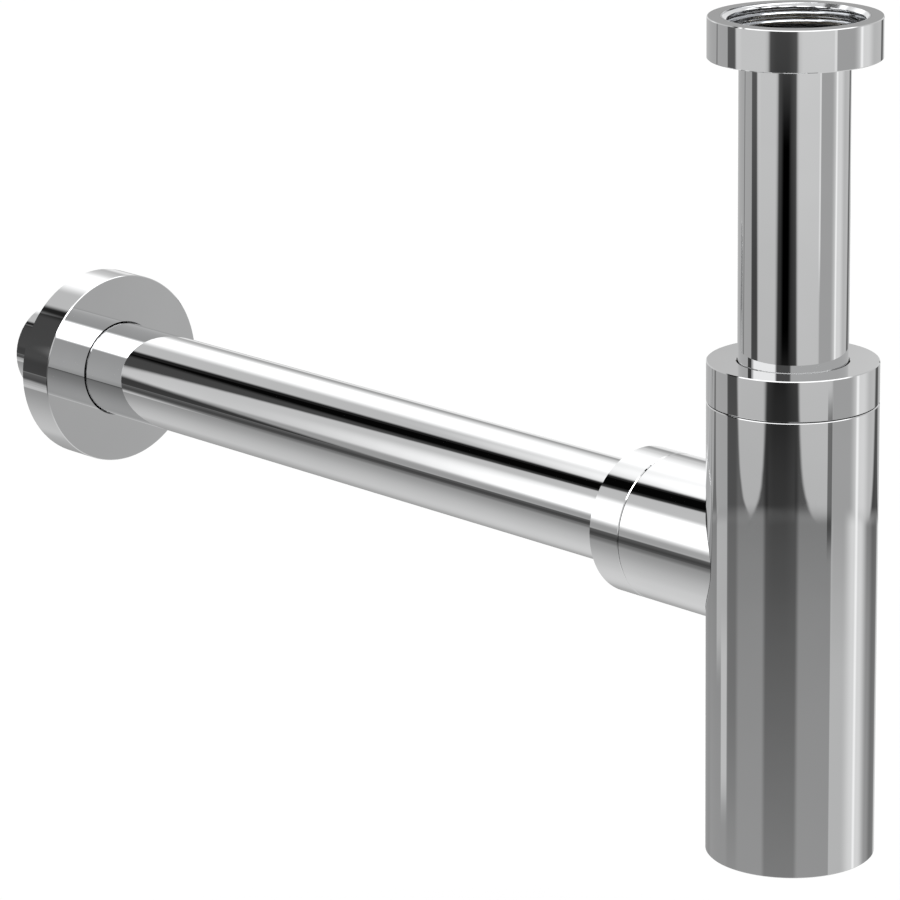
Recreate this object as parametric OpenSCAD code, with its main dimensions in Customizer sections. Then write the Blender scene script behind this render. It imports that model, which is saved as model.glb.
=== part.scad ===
// Bottle trap for a wash basin, in chromed brass, with its wall pipe and sliding wall flange.
// Origin: centre of the inlet nut's top face. +Z is up, along the inlet pipe,
// and +Y runs along the outlet pipe towards the wall. Millimetres.

/* [Pipes] */
// Outside diameter of the inlet and outlet pipes
pipe_d = 32; // [30:0.5:34]
// Wall of both pipes
pipe_wall = 1; // [0.8:0.1:1.5]
// Height from the cap's top face up to the inlet nut's top face
inlet_leg = 100; // [70:1:160]
// Gap between the inlet pipe's lower end and the bottle's underside
dip_gap = 24; // [20:1:40]
// Length of the outlet pipe
outlet_pipe_l = 322; // [180:1:400]
// How far the outlet pipe is pushed in behind the spigot's shoulder
outlet_insert = 16.3; // [12:0.1:18]
// Depth of the insertion mark rolled into the outlet pipe
mark_depth = 0.25; // [0.2:0.05:0.4]
// Width of the insertion mark
mark_w = 0.8; // [0.6:0.1:1.5]
// Distance from the outlet pipe's wall end to the insertion mark
mark_from_end = 25; // [15:0.5:40]

/* [Inlet nut] */
// Outside diameter of the inlet nut
union_d = 50; // [47:0.5:60]
// Height of the inlet nut
union_h = 12; // [11:0.5:20]
// Thickness of the inlet nut's floor
union_floor = 1.8; // [1.5:0.1:2.5]
// Major diameter of the pipe thread in the inlet nut
thread_d = 41.91; // [41.8:0.01:42.2]
// Depth of the lead-in chamfer at the nut's mouth
lead_in = 0.2; // [0.1:0.1:1]
// Radial depth of the thread relief above the nut's floor
relief_depth = 0.45; // [0.3:0.05:0.8]
// Radial clearance of the flare, washer and gasket inside the thread relief
flare_gap = 1.1; // [0.5:0.1:1.6]
// Thickness of the flare
flare_t = 0.9; // [0.7:0.1:1.2]
// Thickness of the flat inlet gasket
inlet_gasket_t = 1.8; // [1.5:0.1:2.2]
// Thickness of the washer under the flare
inlet_washer_t = 0.5; // [0.4:0.1:0.8]

/* [Bottle] */
// Outside diameter of the bottle and of its cap
bottle_d = 50; // [48:0.5:60]
// Wall of the bottle
bottle_wall = 1; // [0.8:0.1:1.5]
// Length of the bottle from its top edge to its underside
bottle_l = 137.8; // [120:0.2:180]
// Depth of the outlet's axis below the bottle's top edge
outlet_drop = 48.8; // [40:0.2:60]

/* [Spigot] */
// Distance from the bottle's axis to the spigot's shoulder
spigot_reach = 49.3; // [47:0.1:60]
// Wall of the spigot
spigot_wall = 1.2; // [0.8:0.1:1.5]

/* [Compression nuts] */
// Height of the cap nut
cap_h = 12; // [11:0.5:18]
// Height of the outlet nut
outlet_nut_h = 12; // [11:0.5:18]
// Thickness of both nuts' floors round the pipe
nut_floor = 2; // [1.5:0.1:2.5]
// Wall of both nuts outside their threads
nut_wall = 1.6; // [1.2:0.1:1.8]
// Height of the slot seen between a closed nut and its shoulder
seam_gap = 0.2; // [0.2:0.1:0.8]
// Thickness of the slip rings
slip_t = 0.8; // [0.6:0.1:1]
// Thickness of a seal's rim above the neck
seal_rim_t = 0.8; // [0.6:0.1:1.2]
// Depth of the taper that a seal enters
seat_depth = 6; // [5:0.1:7]
// Thickness of a seal at its wide end
seal_w = 3.1; // [2.5:0.1:3.6]
// Thickness of a seal at its thin end
seal_tip = 0.9; // [0.6:0.1:1.2]
// Land left round the mouth of the spigot's taper
neck_lip = 1.6; // [1.2:0.1:2.5]
// Depth to which a neck ring is brazed into its tube
neck_insert = 8; // [6:0.5:12]
// Thickness of a neck ring's floor round the pipe
neck_floor = 2; // [1.5:0.1:3]
// Wall of a neck ring's skirt
neck_skirt = 2.4; // [2:0.1:3]

/* [Base] */
// Height of the threaded ring in the bottle's base
base_h = 10; // [9:0.5:14]
// Rim left round the screw plug's head
base_rim = 2; // [1.5:0.1:2.5]
// Width of the shoulder that the plug's gasket closes on
base_shoulder = 2.8; // [2.5:0.1:4]
// Depth of the plug's head below the bottle's rim
plug_recess = 0.3; // [0.2:0.1:0.8]
// Thickness of the plug's head
plug_head_t = 2.8; // [2.5:0.1:3.5]
// Wall of the plug's threaded cup
plug_wall = 2.4; // [2:0.1:3]
// Thickness of the plug's gasket
plug_gasket_t = 1.5; // [1:0.1:2]
// Width of the coin slot
slot_w = 3; // [2:0.1:4]
// Length of the coin slot
slot_l = 28; // [20:0.5:32]
// Depth of the coin slot
slot_depth = 1.5; // [1:0.1:1.8]

/* [Wall flange] */
// Outside diameter of the wall flange
flange_d = 65; // [60:0.5:80]
// Depth of the wall flange from front face to wall
flange_h = 13.5; // [12:0.5:25]
// Thickness of the flange's face and rim
flange_wall = 1.2; // [0.8:0.1:2]
// Length of outlet pipe that stands out behind the flange
wall_stub = 26; // [26:0.5:60]
// Outside diameter of the flange's inner collar
collar_d = 41; // [40:0.5:44]
// Length of the collar behind the flange's face
collar_l = 7; // [6.5:0.1:10]
// Thickness of the grip ring's cord
grip_cord = 2.5; // [2:0.1:2.6]

/* [Clearances] */
// Radial clearance between a screwed pair
thread_gap = 0.2; // [0.1:0.05:0.3]
// Radial clearance of a pipe in the metal that it passes through
slide_gap = 0.25; // [0.2:0.05:0.6]
// Radial clearance of a seal on its pipe
seal_gap = 0.05; // [0.02:0.01:0.1]
// Clearance in a brazed joint
braze_gap = 0.05; // [0.03:0.01:0.1]
// Clearance between flat faces that turn on each other
face_gap = 0.1; // [0.05:0.05:0.2]
// Bevel on every edge that is seen
edge = 0.25; // [0.2:0.05:0.6]

/* [Hidden] */
$fn = 96;

// Radii
pipe_r = pipe_d / 2;
pipe_bore_r = pipe_r - pipe_wall;
pass_r = pipe_r + slide_gap;
seal_bore_r = pipe_r + seal_gap;
bottle_r = bottle_d / 2;
bottle_bore_r = bottle_r - bottle_wall;
seat_r = pipe_r + seal_w;
outlet_nut_r = seat_r + neck_lip + thread_gap + nut_wall;
spigot_bore_r = outlet_nut_r - spigot_wall;
base_ring_r = bottle_bore_r - braze_gap;
relief_r = thread_d / 2 + relief_depth;
flare_r = relief_r - flare_gap;

// Heights down the inlet pipe, from the inlet nut's top face
cap_top = -inlet_leg;
bottle_top = cap_top - cap_h - seam_gap;
bottle_bottom = bottle_top - bottle_l;
outlet_z = bottle_top - outlet_drop;
dip_z = bottle_bottom + dip_gap;

// Stack inside the inlet nut, from its floor up
washer_z = -union_h + union_floor + face_gap;
flare_z = washer_z + inlet_washer_t;
inlet_gasket_z = flare_z + flare_t;
relief_z = inlet_gasket_z + inlet_gasket_t + edge;

// Stations along the outlet pipe, from the bottle's axis
outlet_start = spigot_reach - outlet_insert;
outlet_end = outlet_start + outlet_pipe_l;
flange_back = outlet_end - wall_stub;
flange_front = flange_back - flange_h;

// Depth below a neck's mouth at which the seal has thinned to its tip
seal_depth = seat_depth * (seal_w - seal_tip) / (seal_w - slide_gap);

// Screw plug, measured from the bottle's underside up
plug_head_r = base_ring_r - base_rim - slide_gap;
plug_thread_r = plug_head_r - base_shoulder;
plug_head_top = plug_recess + plug_head_t;

// A turned piece: the outline holds radius and height
module turned(outline) {
    rotate_extrude() polygon(outline);
}

// Plain ring with bevelled outer edges
module ring(outer_r, inner_r, z0, z1, low_edge = 0, high_edge = 0) {
    turned([
        [inner_r, z0], [outer_r - low_edge, z0], [outer_r, z0 + low_edge],
        [outer_r, z1 - high_edge], [outer_r - high_edge, z1], [inner_r, z1]
    ]);
}

// A compression joint stands on its shoulder at height 0, with the pipe along Z.
// These give its heights and radii from the nut's outside radius and height.
function neck_r(nut_r) = nut_r - nut_wall - thread_gap;
function floor_z(nut_h) = seam_gap + nut_h - nut_floor;
function slip_z(nut_h) = floor_z(nut_h) - face_gap - slip_t;
function seal_top(nut_h) = slip_z(nut_h) - face_gap;
function neck_h(nut_h) = seal_top(nut_h) - seal_rim_t;

module compression_nut(nut_r, nut_h) {
    thread_r = nut_r - nut_wall;
    top = seam_gap + nut_h;
    turned([
        [thread_r + edge, seam_gap], [nut_r - edge, seam_gap],
        [nut_r, seam_gap + edge], [nut_r, top - edge],
        [nut_r - edge, top], [pass_r + edge, top], [pass_r, top - edge],
        [pass_r, floor_z(nut_h)], [thread_r, floor_z(nut_h)], [thread_r, seam_gap + edge]
    ]);
}

module slip_ring(nut_r, nut_h) {
    ring(neck_r(nut_r) - edge, pass_r, slip_z(nut_h), slip_z(nut_h) + slip_t);
}

module wedge_seal(nut_h) {
    mouth = neck_h(nut_h);
    turned([
        [seal_bore_r, seal_top(nut_h)], [seal_bore_r, mouth - seal_depth],
        [pipe_r + seal_tip - seal_gap, mouth - seal_depth],
        [seat_r - seal_gap, mouth], [seat_r - seal_gap, seal_top(nut_h)]
    ]);
}

// Turned ring, brazed into a tube's end: a threaded neck with the taper for the seal
module neck_ring(nut_r, nut_h, tube_bore_r) {
    insert_r = tube_bore_r - braze_gap;
    mouth = neck_h(nut_h);
    turned([
        [pass_r, -neck_floor], [insert_r - neck_skirt, -neck_floor],
        [insert_r - neck_skirt, -neck_insert], [insert_r, -neck_insert], [insert_r, 0],
        [neck_r(nut_r), 0], [neck_r(nut_r), mouth - edge], [neck_r(nut_r) - edge, mouth],
        [seat_r, mouth], [pass_r, mouth - seat_depth]
    ]);
}

module along_outlet() {
    translate([0, 0, outlet_z]) rotate([-90, 0, 0]) children();
}

module inlet_nut() {
    thread_r = thread_d / 2;
    floor_top = -union_h + union_floor;
    color("silver") turned([
        [pass_r, -union_h], [union_d / 2 - edge, -union_h], [union_d / 2, -union_h + edge],
        [union_d / 2, -edge], [union_d / 2 - edge, 0], [thread_r + lead_in, 0],
        [thread_r, -lead_in], [thread_r, relief_z + relief_depth],
        [relief_r, relief_z], [relief_r, floor_top],
        [pass_r, floor_top]
    ]);
}

module inlet_washer() {
    color("ivory") ring(flare_r, pass_r, washer_z, washer_z + inlet_washer_t);
}

module inlet_gasket() {
    color("dimgray")
        ring(flare_r, pipe_bore_r, inlet_gasket_z, inlet_gasket_z + inlet_gasket_t);
}

// The inlet pipe hangs by its flare and dips into the water held in the bottle
module inlet_pipe() {
    color("silver") turned([
        [pipe_bore_r, dip_z + edge], [pipe_bore_r + edge, dip_z], [pipe_r - edge, dip_z],
        [pipe_r, dip_z + edge], [pipe_r, flare_z], [flare_r, flare_z],
        [flare_r, inlet_gasket_z], [pipe_bore_r + edge, inlet_gasket_z],
        [pipe_bore_r, inlet_gasket_z - edge]
    ]);
}

module cap_nut() {
    color("silver") translate([0, 0, bottle_top]) compression_nut(bottle_r, cap_h);
}

module cap_slip_ring() {
    color("ivory") translate([0, 0, bottle_top]) slip_ring(bottle_r, cap_h);
}

module cap_seal() {
    color("dimgray") translate([0, 0, bottle_top]) wedge_seal(cap_h);
}

// Drawn tube with the outlet's hole in its side
module bottle_tube() {
    color("silver") difference() {
        ring(bottle_r, bottle_bore_r, bottle_bottom, bottle_top, edge, edge);
        along_outlet() cylinder(r = pipe_bore_r, h = bottle_r + 1);
    }
}

module head_ring() {
    color("silver") translate([0, 0, bottle_top]) neck_ring(bottle_r, cap_h, bottle_bore_r);
}

// Branch tube, saddle-cut to the bottle's round and brazed on it
module outlet_spigot() {
    color("silver") difference() {
        along_outlet()
            ring(outlet_nut_r, spigot_bore_r, 0, spigot_reach, 0, edge);
        translate([0, 0, bottle_bottom])
            cylinder(r = bottle_r + braze_gap, h = bottle_l);
    }
}

module spigot_ring() {
    color("silver") along_outlet() translate([0, 0, spigot_reach])
        neck_ring(outlet_nut_r, outlet_nut_h, spigot_bore_r);
}

// Brazed into the bottle's base, threaded for the screw plug
module base_ring() {
    head_hole_r = plug_head_r + slide_gap;
    thread_r = plug_thread_r + thread_gap;
    shoulder_z = plug_head_top + plug_gasket_t;
    color("silver") translate([0, 0, bottle_bottom]) turned([
        [head_hole_r, 0], [base_ring_r, 0], [base_ring_r, base_h], [thread_r, base_h],
        [thread_r, shoulder_z], [head_hole_r, shoulder_z]
    ]);
}

// Screw plug for cleaning, with a coin slot in its head
module bottom_plug() {
    cup_r = plug_thread_r - plug_wall;
    color("silver") translate([0, 0, bottle_bottom]) difference() {
        turned([
            [0, plug_recess], [plug_head_r - edge, plug_recess],
            [plug_head_r, plug_recess + edge], [plug_head_r, plug_head_top],
            [plug_thread_r, plug_head_top], [plug_thread_r, base_h - edge],
            [plug_thread_r - edge, base_h], [cup_r, base_h], [cup_r, plug_head_top],
            [0, plug_head_top]
        ]);
        translate([-slot_l / 2, -slot_w / 2, 0]) cube([slot_l, slot_w, plug_recess + slot_depth]);
    }
}

module plug_gasket() {
    gasket_bore_r = plug_thread_r + thread_gap;
    color("dimgray") translate([0, 0, bottle_bottom])
        ring(plug_head_r, gasket_bore_r, plug_head_top, plug_head_top + plug_gasket_t - face_gap);
}

module outlet_nut() {
    color("silver") along_outlet() translate([0, 0, spigot_reach])
        compression_nut(outlet_nut_r, outlet_nut_h);
}

module outlet_slip_ring() {
    color("ivory") along_outlet() translate([0, 0, spigot_reach])
        slip_ring(outlet_nut_r, outlet_nut_h);
}

module outlet_seal() {
    color("dimgray") along_outlet() translate([0, 0, spigot_reach])
        wedge_seal(outlet_nut_h);
}

// Plain pipe to the wall, with a shallow rolled mark for how far it enters the wall
module outlet_pipe() {
    mark_z = outlet_end - mark_from_end;
    color("silver") along_outlet() turned([
        [pipe_bore_r, outlet_start + edge], [pipe_bore_r + edge, outlet_start],
        [pipe_r - edge, outlet_start], [pipe_r, outlet_start + edge],
        [pipe_r, mark_z - mark_w], [pipe_r - mark_depth, mark_z - mark_w],
        [pipe_r - mark_depth, mark_z], [pipe_r, mark_z], [pipe_r, outlet_end - edge],
        [pipe_r - edge, outlet_end], [pipe_bore_r, outlet_end]
    ]);
}

// Pressed shell, open to the wall, with a grooved collar round the pipe
module wall_flange() {
    collar_top = flange_front + flange_wall + collar_l;
    groove_r = seal_bore_r + grip_cord + seal_gap;
    groove_w = grip_cord + 2 * face_gap;
    groove_z = grip_z() - groove_w / 2;
    rim_bore_r = flange_d / 2 - flange_wall;
    color("silver") along_outlet() turned([
        [pass_r, flange_front + edge], [pass_r + edge, flange_front],
        [flange_d / 2 - edge, flange_front], [flange_d / 2, flange_front + edge],
        [flange_d / 2, flange_back], [rim_bore_r, flange_back],
        [rim_bore_r, flange_front + flange_wall], [collar_d / 2, flange_front + flange_wall],
        [collar_d / 2, collar_top], [pass_r, collar_top], [pass_r, groove_z + groove_w],
        [groove_r, groove_z + groove_w], [groove_r, groove_z], [pass_r, groove_z]
    ]);
}

function grip_z() = flange_front + flange_wall + collar_l / 2;

module flange_grip_ring() {
    color("dimgray") along_outlet() translate([0, 0, grip_z()])
        rotate_extrude() translate([seal_bore_r + grip_cord / 2, 0]) circle(d = grip_cord, $fn = 32);
}

inlet_nut();
inlet_washer();
inlet_gasket();
inlet_pipe();
cap_nut();
cap_slip_ring();
cap_seal();
bottle_tube();
head_ring();
outlet_spigot();
spigot_ring();
base_ring();
bottom_plug();
plug_gasket();
outlet_nut();
outlet_slip_ring();
outlet_seal();
outlet_pipe();
wall_flange();
flange_grip_ring();
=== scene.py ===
import math
from collections import namedtuple

import bpy
from bpy.props import FloatProperty, FloatVectorProperty, IntProperty, PointerProperty
from mathutils import Euler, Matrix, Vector


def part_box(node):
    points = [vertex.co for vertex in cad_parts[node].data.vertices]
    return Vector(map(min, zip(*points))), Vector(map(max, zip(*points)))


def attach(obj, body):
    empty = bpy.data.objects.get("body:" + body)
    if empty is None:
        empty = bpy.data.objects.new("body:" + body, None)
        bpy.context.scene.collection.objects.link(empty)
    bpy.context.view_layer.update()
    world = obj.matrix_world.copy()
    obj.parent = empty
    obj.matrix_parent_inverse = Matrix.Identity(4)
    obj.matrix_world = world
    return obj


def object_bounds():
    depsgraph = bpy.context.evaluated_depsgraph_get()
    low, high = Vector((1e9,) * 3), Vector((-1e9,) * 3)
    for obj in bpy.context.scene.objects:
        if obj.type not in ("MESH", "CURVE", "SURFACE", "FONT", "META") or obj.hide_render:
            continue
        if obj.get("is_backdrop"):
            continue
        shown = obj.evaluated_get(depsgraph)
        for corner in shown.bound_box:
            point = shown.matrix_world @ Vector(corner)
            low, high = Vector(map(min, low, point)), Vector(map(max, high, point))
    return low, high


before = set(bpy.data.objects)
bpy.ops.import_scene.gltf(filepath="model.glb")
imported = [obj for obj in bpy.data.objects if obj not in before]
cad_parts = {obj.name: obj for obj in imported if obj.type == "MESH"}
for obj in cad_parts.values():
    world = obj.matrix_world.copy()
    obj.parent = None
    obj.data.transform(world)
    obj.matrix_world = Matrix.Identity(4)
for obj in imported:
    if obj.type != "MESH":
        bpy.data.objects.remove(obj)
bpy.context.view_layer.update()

bl_info = {
    "name": "Bottle Trap",
    "version": (1, 0, 0),
    "blender": (4, 5, 0),
    "location": "3D View > Sidebar > Bottle Trap",
    "description": "Dresses a chromed bottle trap: its threads, its finishes and a plain studio",
    "category": "Object",
}

MM = 0.001

CHROMED = ("inlet_nut", "cap_nut", "outlet_nut", "wall_flange", "bottom_plug")
UPRIGHT_TUBES = ("inlet_pipe", "bottle_tube", "head_ring", "base_ring")
LYING_TUBES = ("outlet_pipe", "outlet_spigot", "spigot_ring")
NYLON = ("inlet_washer", "cap_slip_ring", "outlet_slip_ring")
RUBBER = ("inlet_gasket", "cap_seal", "plug_gasket", "outlet_seal", "flange_grip_ring")


class TrapThreads(bpy.types.PropertyGroup):
    """Sizes of the pipe thread in the inlet nut"""
    pitch: FloatProperty(
        name="Pitch", description="Rise of the thread in one turn",
        default=2.309 * MM, unit="LENGTH", precision=5)
    root_radius: FloatProperty(
        name="Root radius", description="Radius at the bottom of the thread's grooves",
        default=20.9 * MM, unit="LENGTH", precision=5)
    crest_radius: FloatProperty(
        name="Crest radius", description="Radius over the thread's ridges",
        default=19.48 * MM, unit="LENGTH", precision=5)
    back_radius: FloatProperty(
        name="Back radius", description="Radius at which the ridges end in the nut's wall",
        default=21.2 * MM, unit="LENGTH", precision=5)
    mouth_radius: FloatProperty(
        name="Mouth radius", description="Radius of the lead-in chamfer at the nut's top face",
        default=20.7 * MM, unit="LENGTH", precision=5)
    mouth_slope: FloatProperty(
        name="Mouth slope", description="Angle between the lead-in chamfer and the nut's axis",
        default=math.radians(52), subtype="ANGLE")
    length: FloatProperty(
        name="Length", description="Threaded length down from the nut's top face",
        default=5.9 * MM, unit="LENGTH", precision=5)
    start_angle: FloatProperty(
        name="Start", description="Angle at which the thread runs out of the nut's mouth",
        default=math.radians(75), subtype="ANGLE")
    steps: IntProperty(
        name="Steps", description="Faces round one turn", default=180, min=48, max=360)


class TrapFinishes(bpy.types.PropertyGroup):
    """Colours and surface of the finishes"""
    chrome: FloatVectorProperty(
        name="Chrome", description="Colour of the chrome plate",
        default=(0.57, 0.573, 0.576), subtype="COLOR", size=3)
    bore: FloatVectorProperty(
        name="Bore", description="Colour of the thinly plated bores",
        default=(0.64, 0.6, 0.53), subtype="COLOR", size=3)
    nylon: FloatVectorProperty(
        name="Nylon", description="Colour of the washers and slip rings",
        default=(0.78, 0.77, 0.71), subtype="COLOR", size=3)
    rubber: FloatVectorProperty(
        name="Rubber", description="Colour of the seals and gaskets",
        default=(0.018, 0.018, 0.019), subtype="COLOR", size=3)
    chrome_roughness: FloatProperty(
        name="Chrome roughness", description="Blur of the polished plate",
        default=0.014, min=0.0, max=0.3)


class TrapStudio(bpy.types.PropertyGroup):
    """Camera, floor and lights"""
    camera_place: FloatVectorProperty(
        name="Camera", description="Where the camera stands",
        default=(-0.84916, -0.78936, 0.20537), subtype="TRANSLATION", unit="LENGTH", size=3)
    camera_bearing: FloatProperty(
        name="Bearing", description="Way the camera looks, turned from +Y towards +X",
        default=math.radians(42.19), subtype="ANGLE")
    camera_dip: FloatProperty(
        name="Dip", description="How far the camera looks down",
        default=math.radians(15.98), subtype="ANGLE")
    camera_roll: FloatProperty(
        name="Roll", description="How far the camera leans",
        default=math.radians(-0.93), subtype="ANGLE")
    camera_lens: FloatProperty(
        name="Lens", description="Focal length in millimetres", default=166.2, min=20, max=400)
    floor_colour: FloatVectorProperty(
        name="Floor", description="Colour of the floor",
        default=(0.8, 0.8, 0.8), subtype="COLOR", size=3)
    floor_glow: FloatProperty(
        name="Floor glow", description="Light of its own that lifts the floor to white",
        default=0.22, min=0, max=1)
    floor_drop: FloatProperty(
        name="Floor drop", description="How far the trap hangs over the floor",
        default=0.25, unit="LENGTH")
    ambient: FloatProperty(
        name="Ambient", description="Level of the light from all round", default=0.75, min=0, max=2)
    lamp: FloatProperty(
        name="Lamp", description="Strength of the broad lamp", default=0.95, min=0, max=10)
    lamp_width: FloatProperty(
        name="Lamp width", description="Angle that the broad lamp fills",
        default=math.radians(35), subtype="ANGLE")
    lamp_tilt: FloatProperty(
        name="Lamp tilt", description="How far the lamp stands from straight overhead",
        default=math.radians(35), subtype="ANGLE")
    lamp_bearing: FloatProperty(
        name="Lamp bearing", description="Side on which the lamp stands",
        default=math.radians(-60), subtype="ANGLE")


# What polished metal sees of the studio, in the order in which it is laid on. A Panel sets the
# level of light in its area. A Flag multiplies what lies behind it: under 1 it shades, and over 1
# it lifts. Areas are placed by bearing and height in degrees as seen from the trap. Bearing 0 is
# along the outlet pipe to the wall, and 90 is to its right. A leaning area shifts by so many
# degrees for each degree of height, and a flared one widens towards the floor's edge, as a
# stand's foot does.
AREA = "left right low high {} side_blur end_blur lean flare"
Panel = namedtuple("Panel", "name " + AREA.format("level"), defaults=(0, 0))
Flag = namedtuple("Flag", "name " + AREA.format("passes"), defaults=(0, 0))

FLOOR_EDGE = -16.9
EDGE_BLUR = 0.3
FLARE_FOOT = -17.3
FLARE_NARROWEST = 0.2
STUDIO = (
    Flag("far floor", 8, 52, -40, -20, 0.75, 12, 12),
    Panel("far end of the floor", 46.5, 69, -34, FLOOR_EDGE, 0.8, 3, 1),
    Flag("front wall", -100, -58, FLOOR_EDGE, 2, 0.93, 6, 1),
    Flag("camera stand on the floor", -140.5, -96, -21.8, -13, 0.35, 7, 11),
    Flag("camera stand", -137, -102.5, FLOOR_EDGE, 22, 0.17, 5, 0.5, 0.3, 9),
    Flag("camera", -131, -101.5, -16.2, -10, 0.3, 18, 6.5),
    Flag("camera stand's foot", -137, -101, FLOOR_EDGE, -16.1, 1.6, 5, 1.3),
    Flag("lens", -124, -108.5, -14.9, -11.3, 0.0, 7, 1.2),
    Flag("corner on the floor", -55, -36.5, -21, -12, 0.62, 8, 4),
    Flag("corner", -51, -35.5, FLOOR_EDGE, -9, 0.27, 4, 1.5, 0.5, 9),
    Flag("corner's upper part", -51, -35.5, -15.2, -9, 0.6, 4, 3.2, 0.5, 9),
    Panel("far side", -36.8, 73, FLOOR_EDGE, -4, 0.60, 1.5, 0.4, 0.3),
    Panel("opening", 43, 64, -12.4, 6, 1.0, 4, 1),
    Panel("sheen on the floor", -36.5, -13, -18.9, FLOOR_EDGE, 0.72, 2, 0.8),
    Panel("sheen's tail", -36.5, -24, -20.8, -18.5, 0.85, 2, 0.8),
    Flag("thin line", -7.1, -5.3, FLOOR_EDGE, -4, 0.4, 2, 0.6, -0.7, 2.6),
    Panel("side wall's foot", 122, 173.2, -34, FLOOR_EDGE, 0.77, 1.5, 0.6),
    Panel("side wall", 84, 172.3, FLOOR_EDGE, 4, 0.575, 2, 1),
    Panel("side wall into its foot", 138, 172.3, -17.9, -10, 0.575, 8, 3),
    Panel("near the side window", 84, 125, FLOOR_EDGE, 4, 0.76, 6, 1),
    Panel("side window", 111, 137, FLOOR_EDGE, 4, 1.10, 18, 1),
    Panel("window on the floor", 113.5, 146, -34, FLOOR_EDGE, 1.12, 20, 1),
    Panel("strip light", 128.8, 133.2, -34, 4, 1.5, 4, 8),
    Panel("thin light", 171.3, 175, -13.6, 3, 1.2, 1.5, 1),
    Flag("far post", 77.2, 84.8, FLOOR_EDGE, 5, 0.13, 8, 0.6, -0.7, 6),
    Flag("far post on the floor", 71, 95, -30, FLOOR_EDGE, 0.55, 16, 2),
    Flag("step", 172.8, 179.5, -17.3, -15.4, 0.3, 1, 0.6),
    Panel("left softbox", -100, -45.5, -1, 27, 2.1, 6, 6, 0.2),
    Panel("top softbox", 12, 41, 21, 50, 1.8, 14, 10),
    Flag("below the softbox", -50, -38, -9, 2, 0.55, 8, 5),
    Flag("corner post", -43, -31.3, -9, 48, 0.11, 1.5, 1, 0.25),
    Flag("corner post's head", -30, -13.6, 33, 49, 0.03, 5, 4),
    Flag("over the cap", 37, 48, 12.8, 16.5, 0.8, 5, 1.5),
    Panel("high window", -190, -84, 30, 53, 6.0, 12, 4),
    Panel("dull ceiling over the pipe", -38, 122, 67, 95, 0.75, 10, 4),
    Flag("ceiling frame", -26, -1, 52, 67, 0.03, 5, 3),
    Flag("ceiling frame's far side", 85, 110, 52, 67, 0.03, 5, 3),
    Flag("over the pipe", 38, 52, 5, 13, 0.5, 8, 5),
)
# Levels of the room itself by height: a floor that is darker towards its edge, and pale walls
# under a bright ceiling.
FLOOR_LEVELS = (
    (-90, 1.0), (-60, 1.03), (-47, 0.98), (-44, 0.90), (-40, 0.83), (-35, 0.73), (-30, 0.62),
    (-25, 0.53), (-22, 0.495), (-19.4, 0.455), (-17.9, 0.41), (-17.3, 0.36), (-16.5, 0.33),
    (90, 0.33),
)
WALL_LEVELS = (
    (-90, 0.78), (-17.5, 0.78), (-16.4, 0.81), (-15, 0.86), (-12.3, 0.95), (-10, 1.01), (0, 1.0),
    (20, 0.9), (44, 0.82), (49, 2.2), (90, 2.2),
)


def add_node(tree, kind, **settings):
    made = tree.nodes.new(kind)
    for key, value in settings.items():
        setattr(made, key, value)
    return made


def feed(tree, socket, value):
    """Links a socket to another, or gives it a plain value."""
    if isinstance(value, bpy.types.NodeSocket):
        tree.links.new(value, socket)
    else:
        socket.default_value = value


def maths(tree, operation, first, second=0.0, third=0.0):
    made = add_node(tree, "ShaderNodeMath", operation=operation)
    for socket, value in zip(made.inputs, (first, second, third)):
        feed(tree, socket, value)
    return made.outputs[0]


def arrows(tree, operation, first, second=None):
    """The node for a sum on two arrows, or on one."""
    made = add_node(tree, "ShaderNodeVectorMath", operation=operation)
    feed(tree, made.inputs[0], first)
    if second is not None:
        feed(tree, made.inputs[1], second)
    return made


def spread(tree, value, low, high, to_low=0.0, to_high=1.0, smooth=True):
    """Maps a value's range low to high on another, held flat past its ends."""
    made = add_node(tree, "ShaderNodeMapRange",
                    interpolation_type="SMOOTHSTEP" if smooth else "LINEAR")
    for socket, given in zip(made.inputs, (value, low, high, to_low, to_high)):
        feed(tree, socket, given)
    return made.outputs[0]


# A Mix node keeps its number and colour sockets side by side, after its factor.
MIX_NUMBERS = slice(2, 4)
MIX_COLOURS = slice(6, 8)
MIXED_COLOUR = 2


def mixed(tree, factor, first, second):
    made = add_node(tree, "ShaderNodeMix", data_type="FLOAT")
    feed(tree, made.inputs[0], factor)
    for socket, number in zip(made.inputs[MIX_NUMBERS], (first, second)):
        feed(tree, socket, number)
    return made.outputs[0]


def mixed_colour(tree, factor, first, second):
    made = add_node(tree, "ShaderNodeMix", data_type="RGBA")
    feed(tree, made.inputs[0], factor)
    for socket, colour in zip(made.inputs[MIX_COLOURS], (first, second)):
        feed(tree, socket, colour if isinstance(colour, bpy.types.NodeSocket) else (*colour, 1))
    return made.outputs[MIXED_COLOUR]


def shade(colour, share):
    """The same colour, lighter or darker."""
    return tuple(part * share for part in colour)


# Patterns in the finishes: their waves to the metre, their finer layers, and how strong those are.
Pattern = namedtuple("Pattern", "scale detail roughness", defaults=(2.0, 0.5))
PLATE_TINT = Pattern(35.0, 3.0)
PLATE_HAZE = Pattern(220.0, 4.0, 0.6)
PLATE_RIPPLE = Pattern(90.0, 1.0)
BORE_STREAKS = Pattern(600.0, 3.0)
NYLON_CLOUD = Pattern(120.0, 4.0)
NYLON_GRAIN = Pattern(2500.0, 3.0)
RUBBER_BLOOM = Pattern(180.0, 5.0, 0.65)
RUBBER_PITS = Pattern(3200.0)
FLOOR_SPECKLE = Pattern(60.0, 3.0)

# The parts of a pattern's range over which a finish changes.
MOST = (0.3, 0.7)
UPPER = (0.35, 0.75)
PEAKS = (0.45, 0.8)

# Cosines between a face's normal and the way straight out of its tube. A bore is under both.
BORE_FACING = (-0.8, -0.6)

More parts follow.
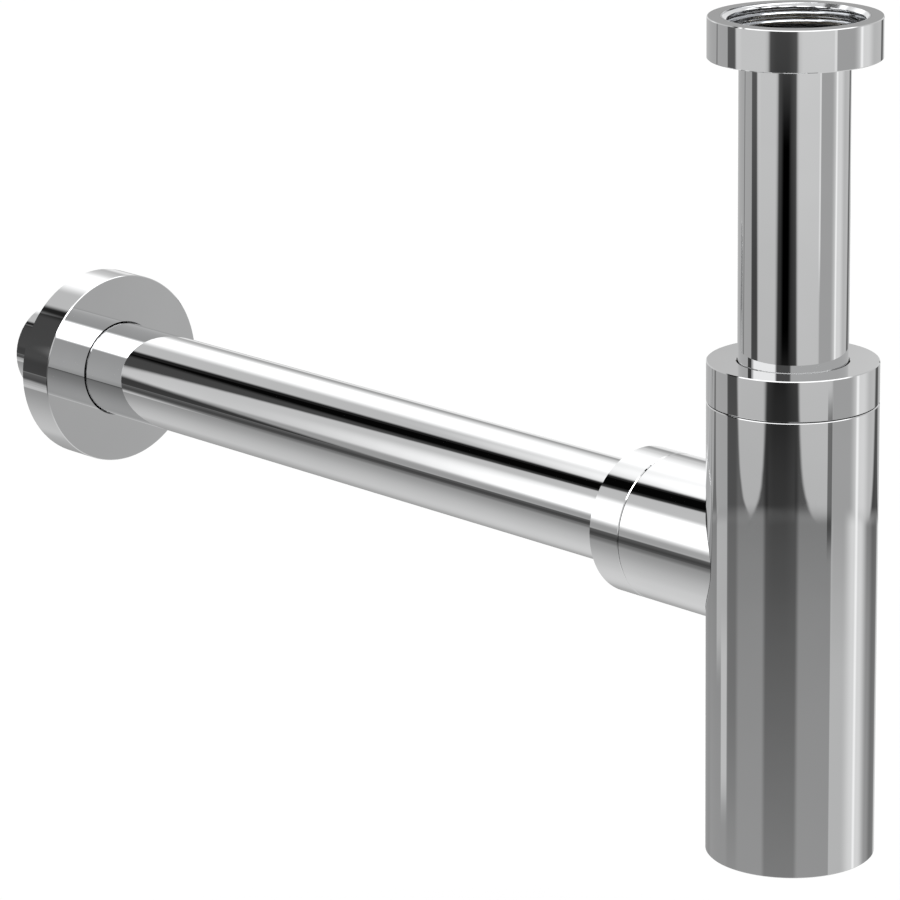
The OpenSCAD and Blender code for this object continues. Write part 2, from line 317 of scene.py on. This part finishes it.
PLATE_SHADES = (0.985, 1.01)
PLATE_BLUR_SHARES = (0.7, 1.5)
BORE_SHADE = 0.9
BORE_ROUGHNESS = (0.24, 0.38)
RIPPLE_DEPTH = 0.004 * MM

NYLON_SHADE = 0.93
NYLON_ROUGHNESS = (0.38, 0.52)
NYLON_SUBSURFACE = 0.15
NYLON_REACH = 0.6 * MM
NYLON_REACH_BY_COLOUR = (1.0, 0.9, 0.7)
NYLON_IOR = 1.53
GRAIN_DEPTH = 0.02 * MM

BLOOM_SHADE = 2.4
RUBBER_ROUGHNESS = (0.55, 0.72)
RUBBER_SPECULAR = 0.4
PIT_DEPTH = 0.03 * MM

FLOOR_SHADE = 0.995
FLOOR_ROUGHNESS = 0.8
FLOOR_SIZE = 60

OUTLET_LOW, OUTLET_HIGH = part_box("outlet_pipe")
OUTLET_Z = (OUTLET_LOW.z + OUTLET_HIGH.z) / 2


def noise(tree, where, pattern):
    made = add_node(tree, "ShaderNodeTexNoise")
    feed(tree, made.inputs["Vector"], where)
    made.inputs["Scale"].default_value = pattern.scale
    made.inputs["Detail"].default_value = pattern.detail
    made.inputs["Roughness"].default_value = pattern.roughness
    return made.outputs["Fac"]


def bumped(tree, shader, height, depth):
    bump = add_node(tree, "ShaderNodeBump")
    bump.inputs["Strength"].default_value = 1.0
    bump.inputs["Distance"].default_value = depth
    feed(tree, bump.inputs["Height"], height)
    feed(tree, shader.inputs["Normal"], bump.outputs[0])


def new_finish(name):
    finish = bpy.data.materials.new(name)
    finish.use_nodes = True
    tree = finish.node_tree
    shader = tree.nodes["Principled BSDF"]
    where = add_node(tree, "ShaderNodeTexCoord").outputs["Object"]
    return finish, tree, shader, where


def bore_share(tree, where, lying):
    """1 on the faces that look at their own tube's axis, which are the thinly plated bores."""
    centred = add_node(tree, "ShaderNodeMapping")
    feed(tree, centred.inputs["Vector"], where)
    if lying:
        centred.inputs["Location"].default_value = (0, 0, -OUTLET_Z)
    across = (1, 0, 1) if lying else (1, 1, 0)
    flat = arrows(tree, "MULTIPLY", centred.outputs[0], across).outputs[0]
    outward = arrows(tree, "NORMALIZE", flat).outputs[0]
    normal = add_node(tree, "ShaderNodeTexCoord").outputs["Normal"]
    facing = arrows(tree, "DOT_PRODUCT", outward, normal).outputs["Value"]
    return spread(tree, facing, *BORE_FACING, 1.0, 0.0)


def chrome_finish(finishes, name, tube=False, lying=False):
    """Bright chrome plate over polished brass, with the plate's faint ripple and haze. In a
    tube's bore it is thin and dull."""
    finish, tree, shader, where = new_finish(name)
    plate = tuple(finishes.chrome)
    tint = spread(tree, noise(tree, where, PLATE_TINT), *MOST)
    colour = mixed_colour(tree, tint, *(shade(plate, share) for share in PLATE_SHADES))
    blurs = (finishes.chrome_roughness * share for share in PLATE_BLUR_SHARES)
    roughness = spread(tree, noise(tree, where, PLATE_HAZE), *UPPER, *blurs)
    if tube:
        bore = bore_share(tree, where, lying)
        streaks = noise(tree, where, BORE_STREAKS)
        thin = tuple(finishes.bore)
        thin_plate = mixed_colour(tree, streaks, shade(thin, BORE_SHADE), thin)
        colour = mixed_colour(tree, bore, colour, thin_plate)
        dull = spread(tree, streaks, *MOST, *BORE_ROUGHNESS)
        roughness = mixed(tree, bore, roughness, dull)
    feed(tree, shader.inputs["Base Color"], colour)
    feed(tree, shader.inputs["Roughness"], roughness)
    shader.inputs["Metallic"].default_value = 1.0
    bumped(tree, shader, noise(tree, where, PLATE_RIPPLE), RIPPLE_DEPTH)
    return finish


def nylon_finish(finishes):
    """Moulded natural nylon: milky, satin, with a fine grain."""
    finish, tree, shader, where = new_finish("white_nylon")
    base = tuple(finishes.nylon)
    cloud = noise(tree, where, NYLON_CLOUD)
    feed(tree, shader.inputs["Base Color"],
         mixed_colour(tree, cloud, shade(base, NYLON_SHADE), base))
    feed(tree, shader.inputs["Roughness"], spread(tree, cloud, *MOST, *NYLON_ROUGHNESS))
    shader.inputs["Subsurface Weight"].default_value = NYLON_SUBSURFACE
    shader.inputs["Subsurface Radius"].default_value = NYLON_REACH_BY_COLOUR
    shader.inputs["Subsurface Scale"].default_value = NYLON_REACH
    shader.inputs["IOR"].default_value = NYLON_IOR
    bumped(tree, shader, noise(tree, where, NYLON_GRAIN), GRAIN_DEPTH)
    return finish


def rubber_finish(finishes):
    """Moulded black rubber: matt, with a dusty bloom and a fine pitted skin."""
    finish, tree, shader, where = new_finish("black_rubber")
    base = tuple(finishes.rubber)
    bloom = noise(tree, where, RUBBER_BLOOM)
    feed(tree, shader.inputs["Base Color"],
         mixed_colour(tree, spread(tree, bloom, *PEAKS), base, shade(base, BLOOM_SHADE)))
    feed(tree, shader.inputs["Roughness"], spread(tree, bloom, *MOST, *RUBBER_ROUGHNESS))
    shader.inputs["Specular IOR Level"].default_value = RUBBER_SPECULAR
    bumped(tree, shader, noise(tree, where, RUBBER_PITS), PIT_DEPTH)
    return finish


def dress(nodes, finish):
    """Gives carried-over pieces their finish in every slot."""
    for node in nodes:
        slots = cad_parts[node].data.materials
        if not slots:
            slots.append(finish)
        for place in range(len(slots)):
            slots[place] = finish


def new_piece(name):
    """Renames the active object and its mesh."""
    piece = bpy.context.object
    piece.name = name
    piece.data.name = name
    return piece


def select_where(piece, keep):
    """In edit mode, selects the vertices for which keep(place) is true."""
    bpy.ops.mesh.select_mode(type="VERT")
    bpy.ops.mesh.select_all(action="DESELECT")
    bpy.ops.object.mode_set(mode="OBJECT")
    for vertex in piece.data.vertices:
        vertex.select = keep(vertex.co)
    bpy.ops.object.mode_set(mode="EDIT")


CUT_REACH = 0.1 * MM * MM


def trim(height, above):
    """Cuts the edited mesh flat at a height and clears what is above or below it."""
    bpy.ops.mesh.select_all(action="SELECT")
    bpy.ops.mesh.bisect(plane_co=(0, 0, height), plane_no=(0, 0, 1),
                        clear_outer=above, clear_inner=not above, threshold=CUT_REACH)


def move_points(piece, move, selected_only=False):
    """In edit mode, puts each vertex where move(place) says."""
    bpy.ops.object.mode_set(mode="OBJECT")
    for vertex in piece.data.vertices:
        if vertex.select or not selected_only:
            vertex.co = move(vertex.co)
    bpy.ops.object.mode_set(mode="EDIT")


def at_radius(place, radius):
    """The same place, at another distance from the Z axis."""
    share = radius / math.hypot(place.x, place.y)
    return Vector((place.x * share, place.y * share, place.z))


ROOT_SHARE = 0.2
CREST_SHARE = 0.34
CORNER_ROUNDING = 0.2
PROFILE_CUTS = 23
SPARE_TURNS = 2
TURN_MERGE = 0.01 * MM
POINT_MERGE = 0.005 * MM
SMOOTH_UP_TO = math.radians(35)


def ridge(share):
    """Height of a pipe thread's ridge, 0 to 1, at a share of its pitch: straight flanks between
    a flat root and a flat crest, with rounded corners."""
    straight = 1 - abs(2 * share - 1)
    rise = min(1.0, max(0.0, (straight - ROOT_SHARE) / (1 - CREST_SHARE - ROOT_SHARE)))
    eased = rise * rise * (3 - 2 * rise)
    return rise + (eased - rise) * CORNER_ROUNDING


def draw_ridge(piece, thread):
    """In edit mode, makes a flat square into the profile of one ridge, over the nut's mouth."""
    select_where(piece, lambda place: place.y > 0)
    bpy.ops.mesh.delete(type="VERT")
    bpy.ops.mesh.select_all(action="SELECT")
    bpy.ops.mesh.subdivide(number_cuts=PROFILE_CUTS)
    depth = thread.root_radius - thread.crest_radius

    def on_profile(place):
        share = place.x / thread.pitch + 0.5
        out = Vector((thread.root_radius - depth * ridge(share), 0, thread.pitch * (1 + share)))
        out.rotate(Euler((0, 0, thread.start_angle)))
        return out

    move_points(piece, on_profile)


def turn_ridge(piece, thread):
    """Winds the profile down into a thread that reaches past both its ends."""
    screw = piece.modifiers.new("turns", "SCREW")
    screw.angle = 2 * math.pi
    screw.screw_offset = -thread.pitch
    screw.iterations = math.ceil(thread.length / thread.pitch) + SPARE_TURNS
    screw.steps = screw.render_steps = thread.steps
    screw.use_merge_vertices = True
    screw.merge_threshold = TURN_MERGE
    bpy.ops.object.modifier_apply(modifier=screw.name)


def cut_mouth(piece, thread):
    """In edit mode, keeps the ridges behind the lead-in chamfer."""
    def behind_chamfer(place):
        radius = math.hypot(place.x, place.y)
        cone = thread.mouth_radius + place.z * math.tan(thread.mouth_slope)
        return at_radius(place, max(radius, cone))

    move_points(piece, behind_chamfer)


def close_back(piece, thread):
    """In edit mode, closes the ridges' back inside the nut's wall."""
    bpy.ops.mesh.select_all(action="DESELECT")
    bpy.ops.mesh.select_mode(type="EDGE")
    bpy.ops.mesh.select_non_manifold()
    bpy.ops.mesh.extrude_edges_move()
    move_points(piece, lambda place: at_radius(place, thread.back_radius), selected_only=True)
    bpy.ops.mesh.bridge_edge_loops()
    bpy.ops.mesh.select_all(action="SELECT")
    bpy.ops.mesh.normals_make_consistent(inside=False)


class TRAP_OT_inlet_thread(bpy.types.Operator):
    """Model the pipe thread that stands in from the inlet nut's wall"""
    bl_idname = "trap.inlet_thread"
    bl_label = "Inlet thread"

    def execute(self, context):
        thread = context.scene.trap_threads
        bpy.ops.object.select_all(action="DESELECT")
        bpy.ops.mesh.primitive_plane_add(size=thread.pitch, location=(0, 0, 0))
        piece = new_piece("inlet_nut_thread")
        bpy.ops.object.mode_set(mode="EDIT")
        draw_ridge(piece, thread)
        bpy.ops.object.mode_set(mode="OBJECT")
        turn_ridge(piece, thread)
        bpy.ops.object.mode_set(mode="EDIT")
        bpy.ops.mesh.select_all(action="SELECT")
        bpy.ops.mesh.remove_doubles(threshold=POINT_MERGE)
        trim(0.0, above=True)
        trim(-thread.length, above=False)
        cut_mouth(piece, thread)
        close_back(piece, thread)
        bpy.ops.object.mode_set(mode="OBJECT")
        bpy.ops.object.shade_smooth_by_angle(angle=SMOOTH_UP_TO)
        piece.data.materials.append(bpy.data.materials["polished_chrome"])
        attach(piece, "inlet_union")
        return {"FINISHED"}


class TRAP_OT_chrome(bpy.types.Operator):
    """Finish the chromed pieces, with thin dull plate in the bores of the tubes"""
    bl_idname = "trap.chrome"
    bl_label = "Chrome"

    def execute(self, context):
        finishes = context.scene.trap_finishes
        dress(CHROMED, chrome_finish(finishes, "polished_chrome"))
        dress(UPRIGHT_TUBES, chrome_finish(finishes, "chromed_tube_upright", tube=True))
        dress(LYING_TUBES, chrome_finish(finishes, "chromed_tube_lying", tube=True, lying=True))
        return {"FINISHED"}


class TRAP_OT_nylon(bpy.types.Operator):
    """Finish the washer and the slip rings in natural nylon"""
    bl_idname = "trap.nylon"
    bl_label = "Nylon"

    def execute(self, context):
        dress(NYLON, nylon_finish(context.scene.trap_finishes))
        return {"FINISHED"}


class TRAP_OT_rubber(bpy.types.Operator):
    """Finish the seals and gaskets in black rubber"""
    bl_idname = "trap.rubber"
    bl_label = "Rubber"

    def execute(self, context):
        dress(RUBBER, rubber_finish(context.scene.trap_finishes))
        return {"FINISHED"}


def step_at(tree, height, at, blur):
    """0 under a height and 1 over it."""
    return spread(tree, height, at - blur / 2, at + blur / 2)


def studio_mask(tree, bearing, height, area):
    """1 inside an area's outline, fading across its blurred edges."""
    middle_line = (area.left + area.right) / 2
    if area.lean:
        middle_line = maths(tree, "MULTIPLY_ADD", height, area.lean,
                            middle_line - area.lean * area.low)
    aside = maths(tree, "WRAP", maths(tree, "SUBTRACT", bearing, middle_line), 180.0, -180.0)
    outside = maths(tree, "SUBTRACT", maths(tree, "ABSOLUTE", aside), (area.right - area.left) / 2)
    if area.flare:
        above = maths(tree, "SUBTRACT", height, FLARE_FOOT)
        above = maths(tree, "MAXIMUM", above, FLARE_NARROWEST)
        outside = maths(tree, "SUBTRACT", outside, maths(tree, "DIVIDE", area.flare, above))
    sides = spread(tree, outside, -area.side_blur / 2, area.side_blur / 2, 1.0, 0.0)
    under, over = (step_at(tree, height, at, EDGE_BLUR if at == FLOOR_EDGE else area.end_blur)
                   for at in (area.low, area.high))
    within = maths(tree, "MULTIPLY", under, maths(tree, "SUBTRACT", 1.0, over))
    return maths(tree, "MULTIPLY", sides, within)


LOWEST, HIGHEST = -90.0, 90.0


def level_by_height(tree, height, levels):
    """The level of light at a height, on straight lines between the given ones."""
    curve = add_node(tree, "ShaderNodeFloatCurve")
    points = curve.mapping.curves[0].points
    top = max(level for _, level in levels)
    places = [((at - LOWEST) / (HIGHEST - LOWEST), level / top) for at, level in levels]
    points[0].location = places[0]
    points[1].location = places[-1]
    for place in places[1:-1]:
        points.new(*place)
    for point in points:
        point.handle_type = "VECTOR"
    curve.mapping.update()
    feed(tree, curve.inputs["Value"], spread(tree, height, LOWEST, HIGHEST, smooth=False))
    return maths(tree, "MULTIPLY", curve.outputs[0], top)


def studio_level(tree, bearing, height):
    """Light that polished metal sees from each direction."""
    level = mixed(tree, step_at(tree, height, FLOOR_EDGE, EDGE_BLUR),
                  level_by_height(tree, height, FLOOR_LEVELS),
                  level_by_height(tree, height, WALL_LEVELS))
    for area in STUDIO:
        if isinstance(area, Panel):
            laid = area.level
        else:
            laid = maths(tree, "MULTIPLY", level, area.passes)
        level = mixed(tree, studio_mask(tree, bearing, height, area), level, laid)
    return level


def build_world(studio):
    """Polished metal sees the studio, matt surfaces get even light, and the camera sees white."""
    world = bpy.data.worlds.new("studio")
    world.use_nodes = True
    bpy.context.scene.world = world
    tree = world.node_tree
    tree.nodes.clear()
    towards = add_node(tree, "ShaderNodeSeparateXYZ")
    feed(tree, towards.inputs[0], add_node(tree, "ShaderNodeTexCoord").outputs["Generated"])
    x, y, z = towards.outputs
    bearing = maths(tree, "DEGREES", maths(tree, "ARCTAN2", x, y))
    height = maths(tree, "DEGREES", maths(tree, "ARCSINE", z))
    path = add_node(tree, "ShaderNodeLightPath")
    unlit = mixed(tree, path.outputs["Is Glossy Ray"], studio.ambient,
                  studio_level(tree, bearing, height))
    seen = maths(tree, "MAXIMUM", path.outputs["Is Camera Ray"],
                 path.outputs["Is Transmission Ray"])
    light = add_node(tree, "ShaderNodeBackground")
    light.inputs["Color"].default_value = (1, 1, 1, 1)
    feed(tree, light.inputs["Strength"], mixed(tree, seen, unlit, 1.0))
    out = add_node(tree, "ShaderNodeOutputWorld")
    feed(tree, out.inputs["Surface"], light.outputs[0])


def floor_finish(studio):
    """Pale matt floor that reads white where nothing shades it."""
    finish, tree, shader, where = new_finish("pale_floor")
    base = tuple(studio.floor_colour)
    feed(tree, shader.inputs["Base Color"],
         mixed_colour(tree, noise(tree, where, FLOOR_SPECKLE), shade(base, FLOOR_SHADE), base))
    shader.inputs["Roughness"].default_value = FLOOR_ROUGHNESS
    shader.inputs["Specular IOR Level"].default_value = 0.0
    shader.inputs["Emission Color"].default_value = (1, 1, 1, 1)
    path = add_node(tree, "ShaderNodeLightPath")
    feed(tree, shader.inputs["Emission Strength"],
         maths(tree, "MULTIPLY", path.outputs["Is Camera Ray"], studio.floor_glow))
    return finish


def build_floor(studio):
    low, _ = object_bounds()
    floor_z = low.z - studio.floor_drop
    bpy.ops.object.select_all(action="DESELECT")
    bpy.ops.mesh.primitive_plane_add(size=FLOOR_SIZE, location=(0, 0, floor_z))
    floor = new_piece("studio_floor")
    floor.data.materials.append(floor_finish(studio))
    floor.visible_glossy = False
    floor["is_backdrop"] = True


def build_lamp(studio):
    """A broad lamp from the upper left behind the camera, for the floor's soft shadow."""
    lamp = bpy.data.lights.new("overhead_lamp", "SUN")
    lamp.energy = studio.lamp
    lamp.angle = studio.lamp_width
    holder = bpy.data.objects.new("overhead_lamp", lamp)
    holder.rotation_euler = Euler((studio.lamp_tilt, 0, studio.lamp_bearing))
    holder.visible_glossy = False
    bpy.context.scene.collection.objects.link(holder)


SENSOR_WIDTH = 36  # millimetres
NEAREST_SEEN = 0.05
LEVEL_LOOK = math.radians(90)


def build_camera(studio):
    lens = bpy.data.cameras.new("camera")
    lens.lens = studio.camera_lens
    lens.sensor_width = SENSOR_WIDTH
    lens.clip_start = NEAREST_SEEN
    camera = bpy.data.objects.new("camera", lens)
    camera.location = studio.camera_place
    turn = Euler((LEVEL_LOOK - studio.camera_dip, 0, -studio.camera_bearing), "XYZ").to_matrix()
    lean = Euler((0, 0, studio.camera_roll), "XYZ").to_matrix()
    camera.rotation_euler = (turn @ lean).to_euler()
    bpy.context.scene.collection.objects.link(camera)
    bpy.context.scene.camera = camera


class TRAP_OT_stage(bpy.types.Operator):
    """Build the floor, the lights and the camera"""
    bl_idname = "trap.stage"
    bl_label = "Studio"

    def execute(self, context):
        studio = context.scene.trap_studio
        context.scene.view_settings.view_transform = "Standard"
        build_world(studio)
        build_floor(studio)
        build_lamp(studio)
        build_camera(studio)
        return {"FINISHED"}


class TRAP_PT_sidebar(bpy.types.Panel):
    """Sizes, colours and steps of the bottle trap"""
    bl_idname = "TRAP_PT_sidebar"
    bl_label = "Bottle Trap"
    bl_space_type = "VIEW_3D"
    bl_region_type = "UI"
    bl_category = "Bottle Trap"

    def draw(self, context):
        for group in (context.scene.trap_threads, context.scene.trap_finishes,
                      context.scene.trap_studio):
            box = self.layout.box()
            for name in group.__annotations__:
                box.prop(group, name)
        for step in STEPS:
            self.layout.operator(step.bl_idname)


GROUPS = {"trap_threads": TrapThreads, "trap_finishes": TrapFinishes, "trap_studio": TrapStudio}
STEPS = (TRAP_OT_chrome, TRAP_OT_nylon, TRAP_OT_rubber, TRAP_OT_inlet_thread, TRAP_OT_stage)
CLASSES = (*GROUPS.values(), *STEPS, TRAP_PT_sidebar)


def register():
    for cls in CLASSES:
        bpy.utils.register_class(cls)
    for name, group in GROUPS.items():
        setattr(bpy.types.Scene, name, PointerProperty(type=group))


def unregister():
    for name in GROUPS:
        delattr(bpy.types.Scene, name)
    for cls in reversed(CLASSES):
        bpy.utils.unregister_class(cls)


def main():
    register()
    bpy.ops.trap.chrome()
    bpy.ops.trap.nylon()
    bpy.ops.trap.rubber()
    bpy.ops.trap.inlet_thread()
    bpy.ops.trap.stage()


if __name__ == "__main__":
    main()
